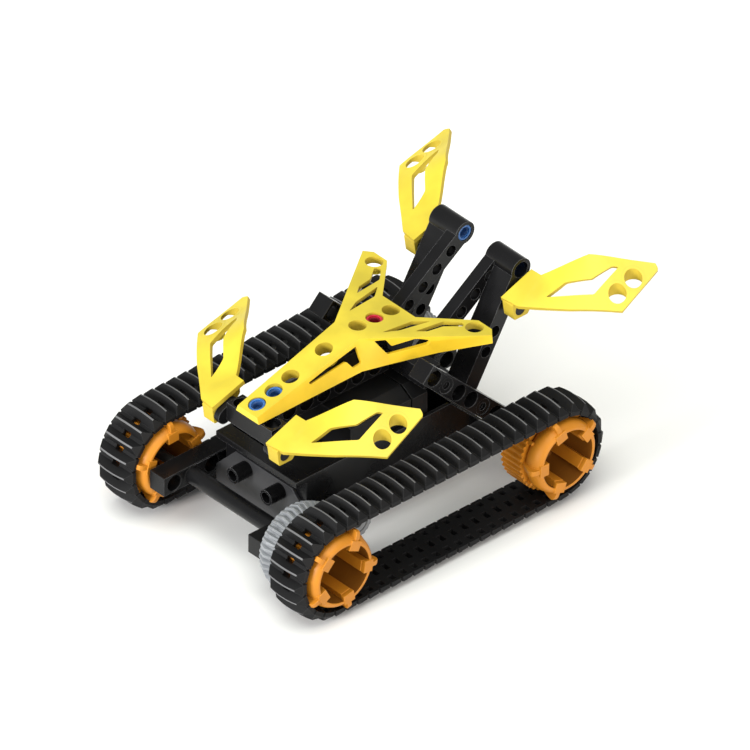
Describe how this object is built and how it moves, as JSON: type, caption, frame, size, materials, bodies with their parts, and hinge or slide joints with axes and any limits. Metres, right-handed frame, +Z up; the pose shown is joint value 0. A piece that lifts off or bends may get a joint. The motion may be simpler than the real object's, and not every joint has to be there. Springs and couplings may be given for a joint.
{
  "type": "tracked tank chassis",
  "caption": "Construction-kit tank chassis: rubber tracks on toothed sprockets, geared motors in an open hull, a swept top panel and tilting blade wings.",
  "frame": {"origin": "middle of the rectangle that the vehicle covers on the ground", "axes": "+Z up, -Y is the vehicle's front, +X is the viewer's right when looking along +Y; the axles run along X"},
  "size_m": [0.147, 0.2094, 0.1086],
  "materials": {
    "track_rubber": "moulded black rubber, satin",
    "black_plastic": "moulded black ABS with a soft gloss",
    "yellow_plastic": "moulded yellow ABS",
    "orange_plastic": "moulded orange ABS",
    "grey_plastic": "moulded light grey ABS",
    "blue_plastic": "moulded blue ABS",
    "red_plastic": "moulded red ABS",
    "axle_plastic": "moulded black acetal"
  },
  "bodies": {
    "chassis": {"hull_tray": "black_plastic", "sensor_plate": "black_plastic", "sensor_eye_left": "black_plastic", "sensor_eye_right": "black_plastic", "rear_plate": "black_plastic", "motor_right": "grey_plastic", "motor_left": "grey_plastic", "controller_box": "grey_plastic", "nose_cross_beam": "black_plastic", "spine_beam": "black_plastic", "rear_cross_beam": "black_plastic", "panel_post": "black_plastic", "top_panel": "yellow_plastic", "rear_arm_left": "black_plastic", "rear_arm_right": "black_plastic", "rear_brace_left": "black_plastic", "rear_brace_right": "black_plastic", "front_beam_left": "black_plastic", "front_beam_right": "black_plastic", "rear_beam_left": "black_plastic", "front_axle_tube": "black_plastic", "rear_axle_tube": "black_plastic", "axle_bushes": "axle_plastic", "black_pegs": "black_plastic", "blue_pegs": "blue_plastic", "red_peg": "red_plastic", "front_wing_pivot_left": "black_plastic", "front_wing_pivot_right": "black_plastic", "rear_wing_pivot_left": "black_plastic", "rear_wing_pivot_right": "black_plastic", "track_left": "track_rubber", "track_right": "track_rubber"},
    "wheel_front_right": {"sprocket_front_right": "orange_plastic", "axle_front_right": "axle_plastic", "drive_gear_right": "grey_plastic"},
    "wheel_rear_right": {"sprocket_rear_right": "orange_plastic", "axle_rear_right": "axle_plastic"},
    "wheel_front_left": {"sprocket_front_left": "orange_plastic", "axle_front_left": "axle_plastic"},
    "wheel_rear_left": {"sprocket_rear_left": "orange_plastic", "axle_rear_left": "axle_plastic", "drive_gear_left": "grey_plastic"},
    "pinion_right": {"motor_pinion_right": "grey_plastic", "motor_shaft_right": "axle_plastic"},
    "pinion_left": {"motor_pinion_left": "grey_plastic", "motor_shaft_left": "axle_plastic"},
    "wing_front_right": {"front_wing_right": "yellow_plastic"},
    "wing_front_left": {"front_wing_left": "yellow_plastic"},
    "wing_rear_right": {"rear_wing_right": "yellow_plastic"},
    "wing_rear_left": {"rear_wing_left": "yellow_plastic"}
  },
  "joints": [
    {"name": "spin_front_right", "type": "hinge", "parent": "chassis", "child": "wheel_front_right", "pos_m": [0.058, -0.07889, 0.0258], "axis": [1, 0, 0], "continuous": true},
    {"name": "spin_rear_right", "type": "hinge", "parent": "chassis", "child": "wheel_rear_right", "pos_m": [0.058, 0.05111, 0.0258], "axis": [1, 0, 0], "continuous": true},
    {"name": "spin_rear_left", "type": "hinge", "parent": "chassis", "child": "wheel_rear_left", "pos_m": [-0.058, 0.05111, 0.0258], "axis": [1, 0, 0], "continuous": true},
    {"name": "spin_front_left", "type": "hinge", "parent": "chassis", "child": "wheel_front_left", "pos_m": [-0.058, -0.07889, 0.0258], "axis": [1, 0, 0], "continuous": true},
    {"name": "spin_pinion_right", "type": "hinge", "parent": "chassis", "child": "pinion_right", "pos_m": [0.039, -0.04889, 0.0258], "axis": [1, 0, 0], "continuous": true},
    {"name": "spin_pinion_left", "type": "hinge", "parent": "chassis", "child": "pinion_left", "pos_m": [-0.036, 0.02111, 0.0258], "axis": [1, 0, 0], "continuous": true},
    {"name": "tilt_front_right", "type": "hinge", "parent": "chassis", "child": "wing_front_right", "pos_m": [0.021, -0.07359, 0.0631], "axis": [1, 0, 0], "range_deg": [-12, 30]},
    {"name": "tilt_front_left", "type": "hinge", "parent": "chassis", "child": "wing_front_left", "pos_m": [-0.021, -0.07359, 0.0631], "axis": [1, 0, 0], "range_deg": [-12, 30]},
    {"name": "tilt_rear_right", "type": "hinge", "parent": "chassis", "child": "wing_rear_right", "pos_m": [0.032, 0.05362, 0.08675], "axis": [1, 0, 0], "range_deg": [-20, 30]},
    {"name": "tilt_rear_left", "type": "hinge", "parent": "chassis", "child": "wing_rear_left", "pos_m": [-0.032, 0.05362, 0.08675], "axis": [1, 0, 0], "range_deg": [-20, 30]}
  ],
  "couplings": [
    {"joint": "spin_rear_right", "follows": "spin_front_right", "ratio": 1},
    {"joint": "spin_pinion_right", "follows": "spin_front_right", "ratio": -2},
    {"joint": "spin_front_left", "follows": "spin_rear_left", "ratio": 1},
    {"joint": "spin_pinion_left", "follows": "spin_rear_left", "ratio": -2}
  ]
}
